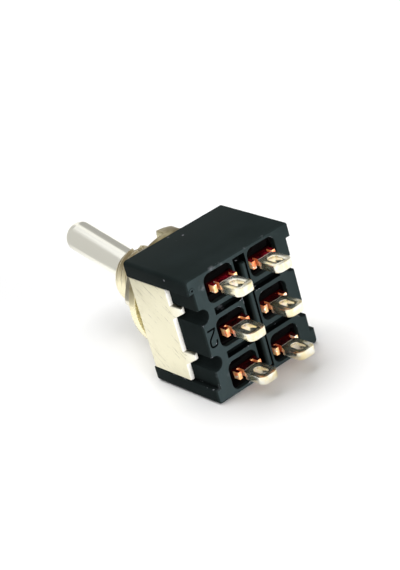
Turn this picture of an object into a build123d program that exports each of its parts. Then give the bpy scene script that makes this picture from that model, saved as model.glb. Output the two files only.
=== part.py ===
from build123d import *
import os
from math import acos, atan2, cos, degrees, hypot, pi, radians, sin, sqrt, tan

# Two-pole miniature toggle switch.
# Frame: the bushing's axis is Y and the strap's lever-side face is the plane y = 0.
# The lever points to -Y, the solder lugs point to +Y, and the lever throws up and down along Z.

# Moulded housing
body_length = 13.2
body_width = 12.7
body_depth = 9.7
corner_round = 0.35
face_chamfer = 0.12
end_wall = 1.555
column_pitch = 4.8
cavity_end_wall = 1.3
floor_thickness = 2.3
pole_width = 3.4
pole_wall_gap = 0.3
pocket_inner = 0.95
pocket_outer = 4.4
pocket_height = 3.05
pocket_end_wall = 0.375
pocket_depth = 1.2
pocket_round = 0.75
slot_length = 3.3
slot_height = 0.75
slot_depth = 0.7
channel_width = 1.44
channel_end_wall = 0.45
channel_depth = 0.95
rib_width = 0.62
rib_above_face = 0.55
rib_end_gap = 0.65
groove_radius = 0.8
groove_spread = 0.3
groove_inset = 0.25
groove_lead = 0.9
overrun = 1.0

# Strap frame folded from sheet
strap_sheet = 0.5
strap_depth = 5.9
strap_gap = 0.07
strap_bend = 0.4
tab_root = 1.4
tab_tip = 0.5
tab_rise = 0.95
tab_dip = 0.6
tab_lap = 0.3

# Threaded bushing
thread_radius = 3.0
thread_pitch_radius = 2.76
bushing_length = 9.0
bushing_chamfer = 0.4
bore_radius = 2.25
bore_flare = 1.0
mouth_radius = 2.65
flange_radius = 3.8
flange_height = 0.6
keyway_width = 1.0
keyway_radius = 2.5
key_turn = 11.0
thread_clearance = 0.03
lip_angle_step = 0.5

# Lever on its pivot pin
pivot_inset = 1.8
lever_length = 12.15
lever_radius = 1.62
lever_tip_round = 1.2
lever_step = 0.3
neck_radius = 1.0
tail_radius = 0.7
tail_past_flange = 0.3
spring_bore = 0.45
spring_seat = 1.2
pin_radius = 0.45
pin_end_gap = 0.06
pin_slot_reach = 2.5
running_clearance = 0.05
press_clearance = 0.01
swing_clearance = 0.08

# Spring and plunger inside the lever's tail
wire_radius = 0.07
spring_turns = 8
spring_gap = 0.02
stem_in_tail = 2.3
plunger_travel = 0.5
plunger_bar = 1.0
plunger_bar_overhang = 0.6
foot_width = 1.2
foot_round = 0.5
foot_gap = 0.2
bar_gap = 0.2

# Rocking contacts and fixed contacts
rocker_above_floor = 1.5
rocker_tilt = 6.0
rocker_slope = 12.0
rocker_sheet = 0.6
rocker_end_gap = 0.35
rocker_width = 2.9
edge_radius = 0.25
contact_radius = 0.5
contact_height = 0.4
contact_dome = 0.12
contact_gap = 0.05

# Solder terminals
blade = 0.8
shank_width = 2.0
blade_inner_width = 1.8
pad_height = 1.2
pad_sheet = 0.5
ear_span = 2.9
ear_width = 0.42
ear_above_face = 0.55
ear_notch = 0.78
lug_neck = 1.5
lug_neck_length = 0.8
lug_flare = 0.45
lug_width = 2.1
lug_reach = 3.7
lug_tip_round = 0.7
eye_length = 1.7
eye_width = 0.9
eye_from_tip = 1.45
insert_gap = 0.03
resin_depth = 0.62

# Panel hardware on the bushing
nut_across_flats = 8.0
nut_height = 1.6
nut_chamfer = 0.25
washer_radius = 4.7
washer_ring = 0.9
washer_sheet = 0.55
tooth_width = 1.1
tooth_length = 0.95
tooth_root = 0.3
tooth_twist = 30.0
tooth_count = 8
washer_gap = 0.02
ring_radius = 6.0
ring_bore = 3.15
ring_sheet = 1.0
ring_tab_width = 1.9
ring_tab_height = 1.3
ring_tab_sheet = 0.8
ring_key_gap = 0.08

# Places that follow from the sizes above
core_width = body_width - 2 * strap_sheet
recess_length = body_length - 2 * end_wall
strap_width = recess_length - 2 * strap_gap
channel_length = body_length - 2 * channel_end_wall
row_pitch = (body_length - pocket_height) / 2 - pocket_end_wall
cavity_width = column_pitch + pole_width
cavity_height = body_length - 2 * cavity_end_wall
cavity_depth = body_depth - floor_thickness
pocket_floor = body_depth - pocket_depth
rib_height = channel_depth + rib_above_face
pocket_width = pocket_outer - pocket_inner
pocket_x = (pocket_outer + pocket_inner) / 2
groove_x = core_width / 2 - groove_inset
groove_spacing = row_pitch + groove_spread
groove_start = strap_depth - groove_lead
ball_radius = bore_radius - running_clearance
flange_back = strap_sheet + flange_height
pivot_depth = bushing_length - pivot_inset
tail_reach = pivot_depth + flange_back
tail_room = mouth_radius - swing_clearance
lever_lean = degrees(acos(tail_radius / hypot(tail_reach, tail_room)) - atan2(tail_reach, tail_room))
lean_cos = cos(radians(lever_lean))
lean_sin = sin(radians(lever_lean))
lean_tan = tan(radians(lever_lean))
pivot = (0, -pivot_depth, 0)
to_tip = Vector(0, -lean_cos, lean_sin)
to_tail = Vector(0, lean_cos, -lean_sin)
tail_length = tail_reach + tail_past_flange
plunger_stem_top = tail_length - stem_in_tail
bar_top = tail_length + plunger_travel + bar_gap
pole_wall_top = bar_top + plunger_bar - pivot_depth + pole_wall_gap
rocker_axis_depth = cavity_depth - rocker_above_floor
rocker_length = cavity_height - 2 * rocker_end_gap
washer_height = tooth_width * sin(radians(tooth_twist)) + washer_sheet * cos(radians(tooth_twist))
ring_back = washer_height + 2 * washer_gap
ring_front = ring_back + ring_sheet
inner_nut_front = ring_front + nut_height
outer_nut_front = inner_nut_front + nut_height
columns = {"right": column_pitch / 2, "left": -column_pitch / 2}
rows = {"upper": row_pitch, "middle": 0, "lower": -row_pitch}

os.makedirs("parts", exist_ok=True)


def at_depth(depth):
    """Plane across the bushing axis at a depth behind the mounting plane, drawn in x and z."""
    return Plane.XZ.offset(-depth)


def keyed(height):
    """Plane across the bushing axis at a height towards the lever, its y axis turned to the keyway."""
    turn = radians(key_turn)
    return Plane((0, -height, 0), x_dir=(cos(turn), 0, sin(turn)), z_dir=(0, -1, 0))


def neck_swing(distance):
    """Radius that the leaning neck needs at a distance from the pivot."""
    return distance * lean_tan + neck_radius / lean_cos + swing_clearance


def write(part, name):
    """Label a finished piece and write its file."""
    part.label = name
    export_step(part, f"parts/{name}.step")


# Housing: one moulding, open towards the lever, with grooved sides and a pocketed terminal face
with BuildPart() as housing:
    with BuildSketch(at_depth(body_depth)):
        RectangleRounded(body_width, body_length, corner_round)
        with Locations((body_width / 2, 0), (-body_width / 2, 0)):
            Rectangle(2 * strap_sheet, recess_length, mode=Mode.SUBTRACT)
    extrude(amount=body_depth)
    chamfer(housing.faces().sort_by(Axis.Y)[-1].edges(), face_chamfer)
    # Seat of the strap's plate
    with BuildSketch(at_depth(0)):
        Rectangle(body_width + overrun, recess_length)
    extrude(amount=-strap_sheet, mode=Mode.SUBTRACT)
    # Room for the mechanism, split by a wall between the two poles
    with BuildSketch(at_depth(0)):
        Rectangle(cavity_width, cavity_height)
    extrude(amount=-pole_wall_top, mode=Mode.SUBTRACT)
    with BuildSketch(at_depth(pole_wall_top)):
        with GridLocations(column_pitch, 0, 2, 1):
            Rectangle(pole_width, cavity_height)
    extrude(amount=pole_wall_top - cavity_depth, mode=Mode.SUBTRACT)
    # Slots through the floor for the terminal shanks
    with BuildSketch(at_depth(body_depth)):
        with GridLocations(column_pitch, row_pitch, 2, 3):
            Rectangle(shank_width + 2 * insert_gap, blade + 2 * insert_gap)
    extrude(amount=body_depth - cavity_depth + overrun, mode=Mode.SUBTRACT)
    # Resin pockets
    with BuildSketch(at_depth(body_depth)):
        with GridLocations(2 * pocket_x, row_pitch, 2, 3):
            RectangleRounded(pocket_width, pocket_height, pocket_round)
    extrude(amount=pocket_depth, mode=Mode.SUBTRACT)
    # Blind slots between the rows
    with BuildSketch(at_depth(body_depth)):
        with GridLocations(column_pitch, row_pitch, 2, 2):
            Rectangle(slot_length, slot_height)
    extrude(amount=slot_depth, mode=Mode.SUBTRACT)
    # Channel between the columns, with a rounded rib standing in it
    with BuildSketch(at_depth(body_depth)):
        Rectangle(channel_width, channel_length)
    extrude(amount=channel_depth, mode=Mode.SUBTRACT)
    with BuildSketch(Plane.XY):
        with Locations((0, body_depth - channel_depth)):
            Rectangle(rib_width, rib_height - rib_width / 2, align=(Align.CENTER, Align.MIN))
        with Locations((0, body_depth - channel_depth + rib_height - rib_width / 2)):
            Circle(rib_width / 2)
    extrude(amount=channel_length / 2 - rib_end_gap, both=True)
    # Round grooves in the sides, where the strap's tabs are crimped
    with BuildSketch(at_depth(body_depth)):
        with GridLocations(2 * groove_x, groove_spacing, 2, 2):
            Circle(groove_radius)
    extrude(amount=body_depth - groove_start, mode=Mode.SUBTRACT)
write(housing.part, "housing")

# Strap: a plate over the open end and two sides folded back along the housing
with BuildPart() as frame_strap:
    with BuildSketch(Plane.XY):
        with Locations((0, strap_depth / 2)):
            Rectangle(body_width, strap_depth)
        with Locations((0, strap_depth / 2 + strap_sheet)):
            Rectangle(core_width, strap_depth, mode=Mode.SUBTRACT)
    extrude(amount=strap_width / 2, both=True)
    fillet(frame_strap.edges().filter_by(Axis.Z).group_by(Axis.Y)[0], strap_bend)
    with BuildSketch(at_depth(0)):
        Circle(thread_pitch_radius + thread_clearance)
    extrude(amount=-strap_sheet, mode=Mode.SUBTRACT)
    # Tapered tabs, bent into the housing's grooves
    for side in (1, -1):
        for groove in (1, -1):
            with BuildSketch(Plane.XY.offset(groove * groove_spacing / 2), mode=Mode.PRIVATE) as bent:
                with BuildLine():
                    Polyline(
                        (side * body_width / 2, strap_depth - tab_lap),
                        (side * body_width / 2, strap_depth),
                        (side * (body_width / 2 - tab_dip), strap_depth + tab_rise),
                        (side * (core_width / 2 - tab_dip), strap_depth + tab_rise - tab_lap),
                        (side * core_width / 2, strap_depth - tab_lap),
                        close=True,
                    )
                make_face()
            with BuildSketch(Plane.YZ.offset(side * core_width / 2), mode=Mode.PRIVATE) as taper:
                with BuildLine():
                    Polyline(
                        (strap_depth - tab_lap, (groove * groove_spacing + tab_root) / 2),
                        (strap_depth, (groove * groove_spacing + tab_root) / 2),
                        (strap_depth + tab_rise, (groove * groove_spacing + tab_tip) / 2),
                        (strap_depth + tab_rise, (groove * groove_spacing - tab_tip) / 2),
                        (strap_depth, (groove * groove_spacing - tab_root) / 2),
                        (strap_depth - tab_lap, (groove * groove_spacing - tab_root) / 2),
                        close=True,
                    )
                make_face()
            blank = extrude(bent.sketch, amount=tab_root, both=True, mode=Mode.PRIVATE)
            outline = extrude(taper.sketch, amount=tab_rise + overrun, both=True, mode=Mode.PRIVATE)
            add(blank & outline)
write(frame_strap.part, "frame_strap")

# Bushing: turned, with a flange behind the strap and a seat for the lever's ball
lip_angle = 0
while bore_radius * sin(radians(lip_angle)) < neck_swing(bore_radius * cos(radians(lip_angle))):
    lip_angle += lip_angle_step
lip_radius = bore_radius * sin(radians(lip_angle))
lip_reach = bore_radius * cos(radians(lip_angle))
rim_radius = lip_radius + (pivot_inset - lip_reach) * lean_tan
with BuildPart() as bushing:
    with BuildSketch(Plane.XY):
        with BuildLine():
            Polyline(
                (bore_radius, -pivot_depth),
                (bore_radius, -bore_flare),
                (mouth_radius, flange_back),
                (flange_radius, flange_back),
                (flange_radius, strap_sheet),
                (thread_pitch_radius, strap_sheet),
                (thread_pitch_radius, -outer_nut_front),
                (thread_radius, -outer_nut_front),
                (thread_radius, bushing_chamfer - bushing_length),
                (thread_radius - bushing_chamfer, -bushing_length),
                (rim_radius, -bushing_length),
                (lip_radius, -pivot_depth - lip_reach),
            )
            RadiusArc((lip_radius, -pivot_depth - lip_reach), (bore_radius, -pivot_depth), -bore_radius)
        make_face()
    revolve(axis=Axis.Y)
    # Slots for the ends of the pivot pin, open towards the mechanism
    with BuildSketch(Plane.YZ):
        with Locations((-pivot_depth, 0)):
            Circle(pin_radius + running_clearance)
            Rectangle(
                tail_reach,
                2 * (pin_radius + running_clearance),
                align=(Align.MIN, Align.CENTER),
            )
    extrude(amount=pin_slot_reach, both=True, mode=Mode.SUBTRACT)
    # Keyway along the thread
    with BuildSketch(keyed(bushing_length)):
        with Locations((0, keyway_radius)):
            Rectangle(keyway_width, thread_radius, align=(Align.CENTER, Align.MIN))
    extrude(amount=-bushing_length, mode=Mode.SUBTRACT)
write(bushing.part, "bushing")

# Lever: turned rod with a ball at its pivot and a hollow tail, leaning to its upper throw
lever_profile = Plane(origin=pivot, x_dir=(1, 0, 0), z_dir=(0, -lean_sin, -lean_cos))
lever_axis = Axis(pivot, to_tip)
shoulder = (pivot_inset + lever_radius * lean_sin + swing_clearance) / lean_cos
neck_join = sqrt(ball_radius**2 - neck_radius**2)
tail_join = sqrt(ball_radius**2 - tail_radius**2)
with BuildPart() as lever:
    with BuildSketch(lever_profile):
        with BuildLine():
            Polyline((0, -tail_length), (tail_radius, -tail_length), (tail_radius, -tail_join))
            ThreePointArc((tail_radius, -tail_join), (ball_radius, 0), (neck_radius, neck_join))
            Polyline(
                (neck_radius, neck_join),
                (neck_radius, shoulder),
                (lever_radius - lever_step, shoulder),
                (lever_radius, shoulder + lever_step),
                (lever_radius, lever_length - lever_tip_round),
            )
            TangentArc(
                (lever_radius, lever_length - lever_tip_round),
                (lever_radius - lever_tip_round, lever_length),
                tangent=(0, 1),
            )
            Polyline((lever_radius - lever_tip_round, lever_length), (0, lever_length), (0, -tail_length))
        make_face()
    revolve(axis=lever_axis)
    with BuildSketch(Plane(origin=Vector(pivot) + to_tail * spring_seat, x_dir=(1, 0, 0), z_dir=to_tail)):
        Circle(spring_bore)
    extrude(amount=tail_length - spring_seat + overrun, mode=Mode.SUBTRACT)
    with BuildSketch(Plane.YZ):
        with Locations((-pivot_depth, 0)):
            Circle(pin_radius + press_clearance)
    extrude(amount=ball_radius + overrun, both=True, mode=Mode.SUBTRACT)
write(lever.part, "lever")

# Pivot pin pressed across the ball
with BuildPart() as pivot_pin:
    with BuildSketch(Plane.YZ):
        with Locations((-pivot_depth, 0)):
            Circle(pin_radius)
    extrude(amount=pin_slot_reach - pin_end_gap, both=True)
write(pivot_pin.part, "pivot_pin")

# Coil spring between the lever's bore and the plunger's stem
coil_start = spring_seat + wire_radius + spring_gap
coil_height = plunger_stem_top - wire_radius - spring_gap - coil_start
coil_radius = spring_bore - running_clearance - wire_radius
with BuildPart() as lever_spring:
    with BuildLine() as coil:
        Helix(
            pitch=coil_height / spring_turns,
            height=coil_height,
            radius=coil_radius,
            center=Vector(pivot) + to_tail * coil_start,
            direction=to_tail,
        )
    with BuildSketch(Plane(origin=coil.line @ 0, z_dir=coil.line % 0)):
        Circle(wire_radius)
    sweep(is_frenet=True)
write(lever_spring.part, "lever_spring")

# Plunger: moulded stem with a cross bar and one rounded foot for each pole
rocker_top = rocker_axis_depth - rocker_sheet
foot_reach = rocker_top - foot_gap + pivot_depth
stem_length = bar_top - plunger_stem_top
foot_length = foot_reach - foot_round - bar_top
plunger_plane = Plane(origin=pivot, x_dir=to_tail, z_dir=(1, 0, 0))
stem_plane = Plane(origin=Vector(pivot) + to_tail * plunger_stem_top, x_dir=(1, 0, 0), z_dir=to_tail)
with BuildPart() as plunger:
    with BuildSketch(stem_plane):
        Circle(spring_bore - running_clearance)
    extrude(amount=stem_length)
    with BuildSketch(plunger_plane):
        with Locations((bar_top, 0)):
            Rectangle(plunger_bar, 2 * foot_round, align=(Align.MIN, Align.CENTER))
    extrude(amount=column_pitch / 2 + plunger_bar_overhang, both=True)
    for column_x in columns.values():
        with BuildSketch(plunger_plane.offset(column_x)):
            with Locations((bar_top, 0)):
                Rectangle(foot_length, 2 * foot_round, align=(Align.MIN, Align.CENTER))
            with Locations((foot_reach - foot_round, 0)):
                Circle(foot_round)
        extrude(amount=foot_width / 2, both=True)
write(plunger.part, "plunger")

# Rocking contacts: coined strips that see-saw on the middle terminals
tilt_cos = cos(radians(rocker_tilt))
tilt_sin = sin(radians(rocker_tilt))
slope_tan = tan(radians(rocker_slope))
rocker_rise = rocker_length / 2 * slope_tan
for side, column_x in columns.items():
    rocker_plane = Plane((column_x, rocker_axis_depth, 0), x_dir=(0, tilt_cos, tilt_sin), z_dir=(1, 0, 0))
    with BuildPart() as rocker:
        with BuildSketch(rocker_plane):
            with BuildLine():
                Polyline(
                    (0, 0),
                    (-rocker_rise, rocker_length / 2),
                    (-rocker_rise - rocker_sheet, rocker_length / 2),
                    (-rocker_sheet, 0),
                    (-rocker_rise - rocker_sheet, -rocker_length / 2),
                    (-rocker_rise, -rocker_length / 2),
                    close=True,
                )
            make_face()
            Circle(edge_radius + running_clearance, mode=Mode.SUBTRACT)
        extrude(amount=rocker_width / 2, both=True)
    write(rocker.part, f"rocker_{side}")

# Terminals: stamped blades with a shouldered base and a solder lug
contact_fall = row_pitch * slope_tan * tilt_cos - row_pitch * tilt_sin
contact_top = rocker_axis_depth - contact_fall + contact_gap
pad_top = contact_top + contact_height
lug_tip = body_depth + lug_reach
ear_top = body_depth + ear_above_face
flare_start = ear_top + lug_neck_length - ear_notch
eye_centre = lug_tip - eye_from_tip
for side, column_x in columns.items():
    for row, row_z in rows.items():
        inner_end = rocker_axis_depth if row == "middle" else pad_top
        with BuildPart() as terminal:
            with BuildSketch(Plane((column_x, 0, row_z))):
                with BuildLine():
                    Polyline(
                        (0, inner_end),
                        (blade_inner_width / 2, inner_end),
                        (blade_inner_width / 2, cavity_depth),
                        (shank_width / 2, cavity_depth),
                        (shank_width / 2, pocket_floor),
                        (ear_span / 2, pocket_floor),
                        (ear_span / 2, ear_top),
                        (ear_span / 2 - ear_width, ear_top),
                        (ear_span / 2 - ear_width, ear_top - ear_notch),
                        (lug_neck / 2, ear_top - ear_notch),
                        (lug_neck / 2, flare_start),
                        (lug_width / 2, flare_start + lug_flare),
                        (lug_width / 2, lug_tip - lug_tip_round),
                    )
                    TangentArc(
                        (lug_width / 2, lug_tip - lug_tip_round),
                        (lug_width / 2 - lug_tip_round, lug_tip),
                        tangent=(0, 1),
                    )
                    Polyline((lug_width / 2 - lug_tip_round, lug_tip), (0, lug_tip), (0, inner_end))
                make_face()
                mirror(about=Plane.YZ)
                with Locations((0, eye_centre)):
                    SlotOverall(eye_length, eye_width, rotation=90, mode=Mode.SUBTRACT)
            extrude(amount=blade / 2, both=True)
            if row == "middle":
                # Rounded edge that carries the rocker
                with BuildSketch(Plane.YZ.offset(column_x)):
                    with Locations((rocker_axis_depth, 0)):
                        Rectangle(blade / 2 - edge_radius, blade, align=(Align.MIN, Align.CENTER))
                    with BuildLine():
                        Polyline(
                            (rocker_axis_depth, edge_radius),
                            (rocker_axis_depth, -edge_radius),
                            (rocker_axis_depth + blade / 2 - edge_radius, -blade / 2),
                            (rocker_axis_depth + blade / 2 - edge_radius, blade / 2),
                            close=True,
                        )
                    make_face(mode=Mode.SUBTRACT)
                extrude(amount=blade_inner_width / 2, both=True, mode=Mode.SUBTRACT)
                with BuildSketch(Plane.YZ.offset(column_x)):
                    with Locations((rocker_axis_depth, 0)):
                        Circle(edge_radius)
                extrude(amount=blade_inner_width / 2, both=True)
            else:
                # Pad bent over for the fixed contact
                with BuildSketch(at_depth(pad_top + pad_sheet)):
                    with Locations((column_x, row_z)):
                        Rectangle(blade_inner_width, pad_height)
                extrude(amount=pad_sheet)
        write(terminal.part, f"terminal_{side}_{row}")

# Fixed contacts riveted on the pads of the outer terminals
dome_radius = (contact_radius**2 + contact_dome**2) / (2 * contact_dome)
for side, column_x in columns.items():
    for row in ("upper", "lower"):
        contact_plane = Plane((column_x, 0, rows[row]))
        with BuildPart() as contact:
            with BuildSketch(contact_plane):
                with Locations((0, contact_top)):
                    Rectangle(contact_radius, contact_height, align=(Align.MIN, Align.MIN))
                with Locations((0, contact_top + dome_radius)):
                    Circle(dome_radius, mode=Mode.INTERSECT)
            revolve(axis=Axis(contact_plane.origin, (0, 1, 0)))
        write(contact.part, f"contact_{side}_{row}")

# Resin poured into each pocket around the terminal's base
for side, column_x in columns.items():
    for row, row_z in rows.items():
        pocket_side = pocket_x if column_x > 0 else -pocket_x
        with BuildPart() as seal:
            with BuildSketch(at_depth(pocket_floor + resin_depth)):
                with Locations((pocket_side, row_z)):
                    RectangleRounded(pocket_width, pocket_height, pocket_round)
                with Locations((column_x, row_z)):
                    Rectangle(ear_span, blade, mode=Mode.SUBTRACT)
            extrude(amount=resin_depth)
        write(seal.part, f"seal_{side}_{row}")

# Toothed lock washer against the strap
with BuildPart() as lock_washer:
    with BuildSketch(at_depth(-washer_gap - (washer_height - washer_sheet) / 2)):
        Circle(washer_radius)
        Circle(washer_radius - washer_ring, mode=Mode.SUBTRACT)
    extrude(amount=washer_sheet)
    twist = radians(tooth_twist)
    for tooth in range(tooth_count):
        turn = 2 * pi * tooth / tooth_count
        outward = Vector(cos(turn), 0, sin(turn))
        tooth_normal = Vector(-sin(turn) * sin(twist), -cos(twist), cos(turn) * sin(twist))
        tooth_plane = Plane((0, -washer_gap - washer_height / 2, 0), x_dir=outward, z_dir=tooth_normal)
        with BuildSketch(tooth_plane):
            with Locations((washer_radius - washer_ring - tooth_length, 0)):
                Rectangle(tooth_length + tooth_root, tooth_width, align=(Align.MIN, Align.CENTER))
        extrude(amount=washer_sheet / 2, both=True)
write(lock_washer.part, "lock_washer")

# Locating ring with an inner key and a tab bent towards the panel
with BuildPart() as locating_ring:
    with BuildSketch(keyed(ring_back)):
        Circle(ring_radius)
        Circle(ring_bore, mode=Mode.SUBTRACT)
        with Locations((0, keyway_radius + ring_key_gap)):
            Rectangle(
                keyway_width - 2 * ring_key_gap,
                ring_bore - keyway_radius,
                align=(Align.CENTER, Align.MIN),
            )
    extrude(amount=ring_sheet)
    with BuildSketch(keyed(ring_front)):
        Circle(ring_radius)
        Circle(ring_radius - ring_tab_sheet, mode=Mode.SUBTRACT)
        with Locations((0, ring_radius)):
            Rectangle(ring_tab_width, ring_radius, mode=Mode.INTERSECT)
    extrude(amount=ring_tab_height)
write(locating_ring.part, "locating_ring")

# Hexagon nuts, one to set the depth and one to clamp the panel
for nut_name, nut_front in {"inner_nut": inner_nut_front, "outer_nut": outer_nut_front}.items():
    with BuildPart() as nut:
        with BuildSketch(at_depth(-nut_front)):
            RegularPolygon(nut_across_flats / 2, 6, major_radius=False)
            Circle(thread_pitch_radius + thread_clearance, mode=Mode.SUBTRACT)
        extrude(amount=-nut_height)
        with BuildSketch(Plane.XY):
            with BuildLine():
                Polyline(
                    (0, nut_height - nut_front),
                    (nut_across_flats / 2, nut_height - nut_front),
                    (nut_across_flats / 2 + 2 * nut_chamfer, nut_height - nut_front - nut_chamfer),
                    (nut_across_flats / 2 + 2 * nut_chamfer, nut_chamfer - nut_front),
                    (nut_across_flats / 2, -nut_front),
                    (0, -nut_front),
                    close=True,
                )
            make_face()
        revolve(axis=Axis.Y, mode=Mode.INTERSECT)
    write(nut.part, nut_name)
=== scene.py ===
import logging
import math
from dataclasses import dataclass
from enum import Enum
from typing import Iterable, Optional, Sequence, Union

import bpy
from mathutils import Matrix, Vector, noise


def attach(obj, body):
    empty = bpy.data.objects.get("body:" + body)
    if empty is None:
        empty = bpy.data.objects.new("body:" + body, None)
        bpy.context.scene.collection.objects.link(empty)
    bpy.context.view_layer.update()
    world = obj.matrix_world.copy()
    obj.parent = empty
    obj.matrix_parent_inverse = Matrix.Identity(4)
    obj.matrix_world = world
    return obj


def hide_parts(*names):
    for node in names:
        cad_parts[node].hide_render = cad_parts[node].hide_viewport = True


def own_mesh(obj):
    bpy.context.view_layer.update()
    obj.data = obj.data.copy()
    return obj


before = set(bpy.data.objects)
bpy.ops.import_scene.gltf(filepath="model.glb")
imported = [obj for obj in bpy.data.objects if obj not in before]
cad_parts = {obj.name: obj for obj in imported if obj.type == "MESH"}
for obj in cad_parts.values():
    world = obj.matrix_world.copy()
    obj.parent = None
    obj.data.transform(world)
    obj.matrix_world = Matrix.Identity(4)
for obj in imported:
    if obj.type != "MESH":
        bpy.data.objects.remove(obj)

MM = 0.001
LOG = logging.getLogger("toggle_switch")
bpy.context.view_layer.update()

Color = tuple[float, float, float]
Point = tuple[float, float, float]
Socket = bpy.types.NodeSocket
Value = Union[float, Color, Socket]

# Distance within which points are merged, in metres.
MERGE = 1e-7
# Angle below which neighbouring faces count as flat, in degrees.
FLAT_ANGLE = 0.6
# Angle above which an edge is a crease, in degrees.
CREASE_ANGLE = 32.0
# Turn that stands a piece's Z along the switch's Y.
STAND_ALONG_Y = (math.radians(-90.0), 0.0, 0.0)
# Colour of painted shade, laid into the moulding's recesses and onto the upper faces of the middle and lower rows'
# terminal feet.
PAINTED_SHADE = (0.0014, 0.0019, 0.0019)
# Colour of fine scratches in plating.
SCRATCH = (0.3, 0.28, 0.2)
# Control points of the figure two, in shares of its width and height.
FIGURE_TWO = (
    (0.08, 0.7),
    (0.06, 0.98),
    (0.5, 1.04),
    (0.88, 0.98),
    (0.86, 0.6),
    (0.6, 0.42),
    (0.2, 0.2),
    (0.03, 0.0),
    (0.03, 0.0),
    (0.4, 0.0),
    (0.9, 0.0),
)


class Body(Enum):
    """The bodies that the scene's pieces ride on."""

    BASE = "base"
    LEVER = "lever"


class Side(Enum):
    """The two poles, by the sign of their x."""

    RIGHT = 1
    LEFT = -1

    @property
    def word(self) -> str:
        """Name of the side as it stands in a piece's name."""
        return self.name.lower()


class Row(Enum):
    """The three rows of terminals, by their step from the middle."""

    UPPER = 1
    MIDDLE = 0
    LOWER = -1

    @property
    def word(self) -> str:
        """Name of the row as it stands in a piece's name."""
        return self.name.lower()


def only(piece: bpy.types.Object) -> None:
    """Select one piece, and nothing else, and make it the active one.

    Args:
        piece: The object that the next operators act on.
    """
    bpy.ops.object.select_all(action="DESELECT")
    piece.select_set(True)
    bpy.context.view_layer.objects.active = piece


def tidy_mesh(piece: bpy.types.Object) -> None:
    """Merge doubled points of a piece and turn its faces outwards.

    Args:
        piece: The mesh object to clean.
    """
    only(piece)
    bpy.ops.object.mode_set(mode="EDIT")
    bpy.ops.mesh.select_all(action="SELECT")
    bpy.ops.mesh.remove_doubles(threshold=MERGE)
    bpy.ops.mesh.normals_make_consistent(inside=False)
    bpy.ops.object.mode_set(mode="OBJECT")


def settle(piece: bpy.types.Object) -> None:
    """Put a piece's place, turn and scale into its mesh.

    Args:
        piece: The object to settle at the origin.
    """
    only(piece)
    bpy.ops.object.transform_apply(location=True, rotation=True, scale=True)


def apply_modifier(piece: bpy.types.Object, kind: str, **settings: object) -> None:
    """Add a modifier to a piece, set it and apply it.

    Args:
        piece: The mesh object.
        kind: Blender's name of the modifier's type.
        **settings: Values for the modifier's properties.
    """
    only(piece)
    modifier = piece.modifiers.new(kind.lower(), kind)
    for name, value in settings.items():
        setattr(modifier, name, value)
    bpy.ops.object.modifier_apply(modifier=modifier.name)


def merged_copy(node: str, name: str) -> bpy.types.Object:
    """Copy a solid's mesh into a new piece with its points merged.

    Args:
        node: Name of the solid.
        name: Name of the new piece.

    Returns:
        The new piece, closed.
    """
    piece = bpy.data.objects.new(name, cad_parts[node].data.copy())
    bpy.context.scene.collection.objects.link(piece)
    only(piece)
    bpy.ops.mesh.customdata_custom_splitnormals_clear()
    bpy.ops.object.mode_set(mode="EDIT")
    bpy.ops.mesh.select_all(action="SELECT")
    bpy.ops.mesh.remove_doubles(threshold=MERGE)
    bpy.ops.object.mode_set(mode="OBJECT")
    return piece


def softened_copy(node: str, name: str, width: float) -> bpy.types.Object:
    """Copy a solid and round its sharp edges.

    Args:
        node: Name of the solid.
        name: Name of the new piece.
        width: Width of the rounding, in metres.

    Returns:
        The rounded piece.
    """
    piece = merged_copy(node, name)
    bpy.ops.object.mode_set(mode="EDIT")
    bpy.ops.mesh.select_all(action="SELECT")
    bpy.ops.mesh.dissolve_limited(angle_limit=math.radians(FLAT_ANGLE))
    bpy.ops.object.mode_set(mode="OBJECT")
    apply_modifier(
        piece,
        "BEVEL",
        width=width,
        segments=2,
        limit_method="ANGLE",
        angle_limit=math.radians(CREASE_ANGLE),
        use_clamp_overlap=True,
    )
    smooth(piece)
    return piece


def smooth(piece: bpy.types.Object) -> None:
    """Shade a piece smooth, but for its creases.

    Args:
        piece: The mesh object.
    """
    only(piece)
    bpy.ops.object.shade_smooth_by_angle(angle=math.radians(CREASE_ANGLE))


def hand_over(
    piece: bpy.types.Object,
    body: Body,
    material: bpy.types.Material,
    stands_for: Sequence[str] = (),
) -> None:
    """Give a finished piece its body, slot and material.

    Args:
        piece: The finished piece.
        body: The body that it moves with.
        material: Its material.
        stands_for: Names of the solids that it replaces.
    """
    piece.data.materials.clear()
    piece.data.materials.append(material)
    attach(piece, body.value)
    if stands_for:
        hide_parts(*stands_for)
    LOG.info("%s rides on %s, %d faces", piece.name, body.value, len(piece.data.polygons))


def paint_solid(node: str, material: bpy.types.Material) -> None:
    """Give a solid that stays as it is a better material.

    Args:
        node: Name of the solid.
        material: Its material.
    """
    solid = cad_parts[node]
    for place in solid.material_slots:
        place.material = material
    LOG.info("%s keeps its shape and takes %s", node, material.name)


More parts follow.
